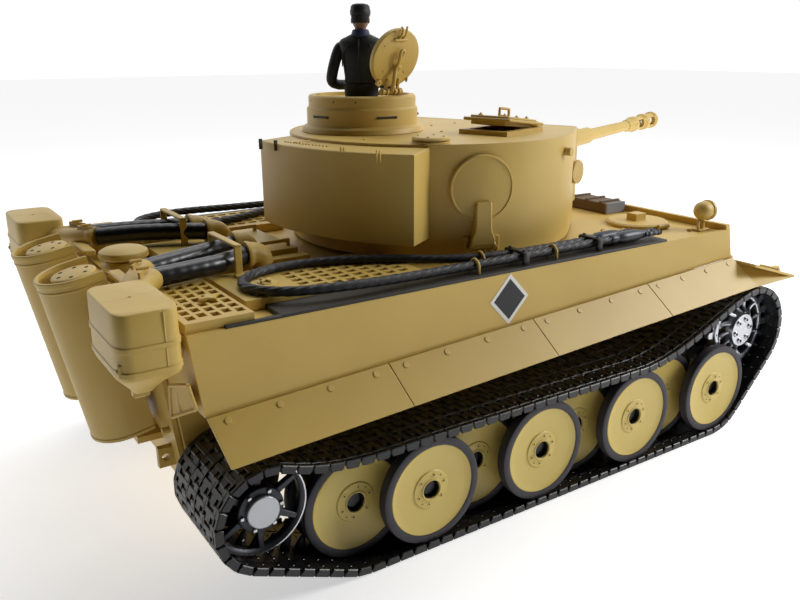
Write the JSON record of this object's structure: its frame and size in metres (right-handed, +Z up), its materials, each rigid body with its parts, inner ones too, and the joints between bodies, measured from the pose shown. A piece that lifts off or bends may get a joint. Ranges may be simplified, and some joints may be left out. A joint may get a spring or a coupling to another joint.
{
  "type": "radio-controlled model tank",
  "caption": "Radio-controlled model tank: boxy hull on interleaved road wheels and tracks, horseshoe turret with long gun, cupola with a figure, rear bin, cables and hoses.",
  "frame": {"origin": "on the ground under the middle of the overall box, tracks standing on z = 0", "axes": "+X to the front of the hull, +Y to its left, +Z up"},
  "size_m": [0.5056, 0.2284, 0.2302],
  "materials": {
    "hull_paint": "matt sand-yellow paint over moulded plastic",
    "wheel": "sand-yellow painted disc with a black rubber tyre",
    "sprocket_metal": "bright cast metal",
    "idler_metal": "dark cast metal with a bright cap",
    "track_link": "black moulded links",
    "hose": "smooth black rubber",
    "elbow": "tan moulded elbow",
    "cable": "black braided cord",
    "dark_plastic": "black moulded plastic",
    "board": "green circuit board",
    "steel": "zinc-plated screws",
    "box_brown": "dark brown painted box",
    "uniform": "painted figure, black uniform"
  },
  "bodies": {
    "hull": {"air_filters": "hull_paint", "battery_door": "hull_paint", "battery_pack": "dark_plastic", "cable_trays": "dark_plastic", "control_board": "board", "deck_box": "box_brown", "deck_grilles": "hull_paint", "engine_hatch": "hull_paint", "exhaust_mufflers": "hull_paint", "exhaust_shields": "hull_paint", "filter_hoses": "hose", "gearboxes": "dark_plastic", "headlamps": "hull_paint", "hose_elbows": "elbow", "hull_gun_and_visor": "hull_paint", "hull_screws": "steel", "lower_hull": "hull_paint", "mudguards": "hull_paint", "rear_plate": "hull_paint", "side_skirts": "hull_paint", "smoke_unit": "dark_plastic", "speaker": "dark_plastic", "suspension_arms": "hull_paint", "tow_cables": "cable", "track_left": "track_link", "track_right": "track_link", "turret_ring": "dark_plastic", "upper_hull": "hull_paint"},
    "turret": {"turret_shell": "hull_paint", "stowage_bin": "hull_paint", "cupola": "hull_paint", "commander_figure": "uniform"},
    "mantlet": {"mantlet": "hull_paint"},
    "gun_barrel": {"gun_barrel": "hull_paint"},
    "cupola_hatch": {"cupola_hatch": "hull_paint"},
    "loader_hatch": {"loader_hatch": "hull_paint"},
    "escape_hatch": {"escape_hatch": "hull_paint"},
    "driver_hatch": {"driver_hatch": "hull_paint"},
    "radio_hatch": {"radio_hatch": "hull_paint"},
    "power_switch": {"power_switch": "dark_plastic"},
    "sprocket_right": {"sprocket_right": "sprocket_metal"},
    "idler_right": {"idler_right": "idler_metal"},
    "road_wheel_right_1": {"road_wheel_right_1": "wheel"},
    "road_wheel_right_2": {"road_wheel_right_2": "wheel"},
    "road_wheel_right_3": {"road_wheel_right_3": "wheel"},
    "road_wheel_right_4": {"road_wheel_right_4": "wheel"},
    "road_wheel_right_5": {"road_wheel_right_5": "wheel"},
    "road_wheel_right_6": {"road_wheel_right_6": "wheel"},
    "road_wheel_right_7": {"road_wheel_right_7": "wheel"},
    "road_wheel_right_8": {"road_wheel_right_8": "wheel"},
    "sprocket_left": {"sprocket_left": "sprocket_metal"},
    "idler_left": {"idler_left": "idler_metal"},
    "road_wheel_left_1": {"road_wheel_left_1": "wheel"},
    "road_wheel_left_2": {"road_wheel_left_2": "wheel"},
    "road_wheel_left_3": {"road_wheel_left_3": "wheel"},
    "road_wheel_left_4": {"road_wheel_left_4": "wheel"},
    "road_wheel_left_5": {"road_wheel_left_5": "wheel"},
    "road_wheel_left_6": {"road_wheel_left_6": "wheel"},
    "road_wheel_left_7": {"road_wheel_left_7": "wheel"},
    "road_wheel_left_8": {"road_wheel_left_8": "wheel"}
  },
  "joints": [
    {"name": "sprocket_right_spin", "type": "hinge", "parent": "hull", "child": "sprocket_right", "pos_m": [0.10036, -0.09, 0.055], "axis": [0, 1, 0], "continuous": true},
    {"name": "idler_right_spin", "type": "hinge", "parent": "hull", "child": "idler_right", "pos_m": [-0.19604, -0.09, 0.0406], "axis": [0, 1, 0], "continuous": true},
    {"name": "road_wheel_right_1_spin", "type": "hinge", "parent": "hull", "child": "road_wheel_right_1", "pos_m": [0.07306, -0.09, 0.0273], "axis": [0, 1, 0], "continuous": true},
    {"name": "road_wheel_right_2_spin", "type": "hinge", "parent": "hull", "child": "road_wheel_right_2", "pos_m": [0.04086, -0.09, 0.0273], "axis": [0, 1, 0], "continuous": true},
    {"name": "road_wheel_right_3_spin", "type": "hinge", "parent": "hull", "child": "road_wheel_right_3", "pos_m": [0.00866, -0.09, 0.0273], "axis": [0, 1, 0], "continuous": true},
    {"name": "road_wheel_right_4_spin", "type": "hinge", "parent": "hull", "child": "road_wheel_right_4", "pos_m": [-0.02354, -0.09, 0.0273], "axis": [0, 1, 0], "continuous": true},
    {"name": "road_wheel_right_5_spin", "type": "hinge", "parent": "hull", "child": "road_wheel_right_5", "pos_m": [-0.05574, -0.09, 0.0273], "axis": [0, 1, 0], "continuous": true},
    {"name": "road_wheel_right_6_spin", "type": "hinge", "parent": "hull", "child": "road_wheel_right_6", "pos_m": [-0.08794, -0.09, 0.0273], "axis": [0, 1, 0], "continuous": true},
    {"name": "road_wheel_right_7_spin", "type": "hinge", "parent": "hull", "child": "road_wheel_right_7", "pos_m": [-0.12014, -0.09, 0.0273], "axis": [0, 1, 0], "continuous": true},
    {"name": "road_wheel_right_8_spin", "type": "hinge", "parent": "hull", "child": "road_wheel_right_8", "pos_m": [-0.15234, -0.09, 0.0273], "axis": [0, 1, 0], "continuous": true},
    {"name": "sprocket_left_spin", "type": "hinge", "parent": "hull", "child": "sprocket_left", "pos_m": [0.10036, 0.09, 0.055], "axis": [0, 1, 0], "continuous": true},
    {"name": "idler_left_spin", "type": "hinge", "parent": "hull", "child": "idler_left", "pos_m": [-0.19604, 0.09, 0.0406], "axis": [0, 1, 0], "continuous": true},
    {"name": "road_wheel_left_1_spin", "type": "hinge", "parent": "hull", "child": "road_wheel_left_1", "pos_m": [0.07306, 0.09, 0.0273], "axis": [0, 1, 0], "continuous": true},
    {"name": "road_wheel_left_2_spin", "type": "hinge", "parent": "hull", "child": "road_wheel_left_2", "pos_m": [0.04086, 0.09, 0.0273], "axis": [0, 1, 0], "continuous": true},
    {"name": "road_wheel_left_3_spin", "type": "hinge", "parent": "hull", "child": "road_wheel_left_3", "pos_m": [0.00866, 0.09, 0.0273], "axis": [0, 1, 0], "continuous": true},
    {"name": "road_wheel_left_4_spin", "type": "hinge", "parent": "hull", "child": "road_wheel_left_4", "pos_m": [-0.02354, 0.09, 0.0273], "axis": [0, 1, 0], "continuous": true},
    {"name": "road_wheel_left_5_spin", "type": "hinge", "parent": "hull", "child": "road_wheel_left_5", "pos_m": [-0.05574, 0.09, 0.0273], "axis": [0, 1, 0], "continuous": true},
    {"name": "road_wheel_left_6_spin", "type": "hinge", "parent": "hull", "child": "road_wheel_left_6", "pos_m": [-0.08794, 0.09, 0.0273], "axis": [0, 1, 0], "continuous": true},
    {"name": "road_wheel_left_7_spin", "type": "hinge", "parent": "hull", "child": "road_wheel_left_7", "pos_m": [-0.12014, 0.09, 0.0273], "axis": [0, 1, 0], "continuous": true},
    {"name": "road_wheel_left_8_spin", "type": "hinge", "parent": "hull", "child": "road_wheel_left_8", "pos_m": [-0.15234, 0.09, 0.0273], "axis": [0, 1, 0], "continuous": true},
    {"name": "turret_traverse", "type": "hinge", "parent": "hull", "child": "turret", "pos_m": [-0.04404, 0, 0.115], "axis": [0, 0, 1], "range_deg": [-178.3, 141.7]},
    {"name": "gun_elevation", "type": "hinge", "parent": "turret", "child": "mantlet", "pos_m": [-0.00037, 0.01444, 0.1445], "axis": [0.314, -0.9494, 0], "range_deg": [-5, 9]},
    {"name": "gun_recoil", "type": "slide", "parent": "mantlet", "child": "gun_barrel", "axis": [0.9491, 0.3139, 0.0244], "range_m": [-0.01, 0], "stiffness_N_per_m": 120, "springref_m": 0.004},
    {"name": "cupola_hatch_hinge", "type": "hinge", "parent": "turret", "child": "cupola_hatch", "pos_m": [-0.07675, -0.00655, 0.1882], "axis": [-0.9945, -0.1045, 0], "range_deg": [0, 16]},
    {"name": "loader_hatch_hinge", "type": "hinge", "parent": "turret", "child": "loader_hatch", "pos_m": [-0.00726, -0.02997, 0.17089], "axis": [-0.314, 0.9494, 0], "range_deg": [-7, 100]},
    {"name": "escape_hatch_hinge", "type": "hinge", "parent": "turret", "child": "escape_hatch", "pos_m": [-0.06763, -0.07393, 0.1214], "axis": [0.9527, -0.304, 0], "range_deg": [0, 60]},
    {"name": "driver_hatch_hinge", "type": "hinge", "parent": "hull", "child": "driver_hatch", "pos_m": [0.05836, 0.0755, 0.1151], "axis": [-1, 0, 0], "range_deg": [0, 100]},
    {"name": "radio_hatch_hinge", "type": "hinge", "parent": "hull", "child": "radio_hatch", "pos_m": [0.05836, -0.0755, 0.1151], "axis": [1, 0, 0], "range_deg": [0, 100]},
    {"name": "power_switch_slide", "type": "slide", "parent": "hull", "child": "power_switch", "axis": [1, 0, 0], "range_m": [0, 0.0025]}
  ],
  "couplings": [
    {"joint": "idler_right_spin", "follows": "sprocket_right_spin", "ratio": 1.2046},
    {"joint": "road_wheel_right_1_spin", "follows": "sprocket_right_spin", "ratio": 0.98479},
    {"joint": "road_wheel_right_2_spin", "follows": "sprocket_right_spin", "ratio": 0.98479},
    {"joint": "road_wheel_right_3_spin", "follows": "sprocket_right_spin", "ratio": 0.98479},
    {"joint": "road_wheel_right_4_spin", "follows": "sprocket_right_spin", "ratio": 0.98479},
    {"joint": "road_wheel_right_5_spin", "follows": "sprocket_right_spin", "ratio": 0.98479},
    {"joint": "road_wheel_right_6_spin", "follows": "sprocket_right_spin", "ratio": 0.98479},
    {"joint": "road_wheel_right_7_spin", "follows": "sprocket_right_spin", "ratio": 0.98479},
    {"joint": "road_wheel_right_8_spin", "follows": "sprocket_right_spin", "ratio": 0.98479},
    {"joint": "idler_left_spin", "follows": "sprocket_left_spin", "ratio": 1.2046},
    {"joint": "road_wheel_left_1_spin", "follows": "sprocket_left_spin", "ratio": 0.98479},
    {"joint": "road_wheel_left_2_spin", "follows": "sprocket_left_spin", "ratio": 0.98479},
    {"joint": "road_wheel_left_3_spin", "follows": "sprocket_left_spin", "ratio": 0.98479},
    {"joint": "road_wheel_left_4_spin", "follows": "sprocket_left_spin", "ratio": 0.98479},
    {"joint": "road_wheel_left_5_spin", "follows": "sprocket_left_spin", "ratio": 0.98479},
    {"joint": "road_wheel_left_6_spin", "follows": "sprocket_left_spin", "ratio": 0.98479},
    {"joint": "road_wheel_left_7_spin", "follows": "sprocket_left_spin", "ratio": 0.98479},
    {"joint": "road_wheel_left_8_spin", "follows": "sprocket_left_spin", "ratio": 0.98479}
  ]
}
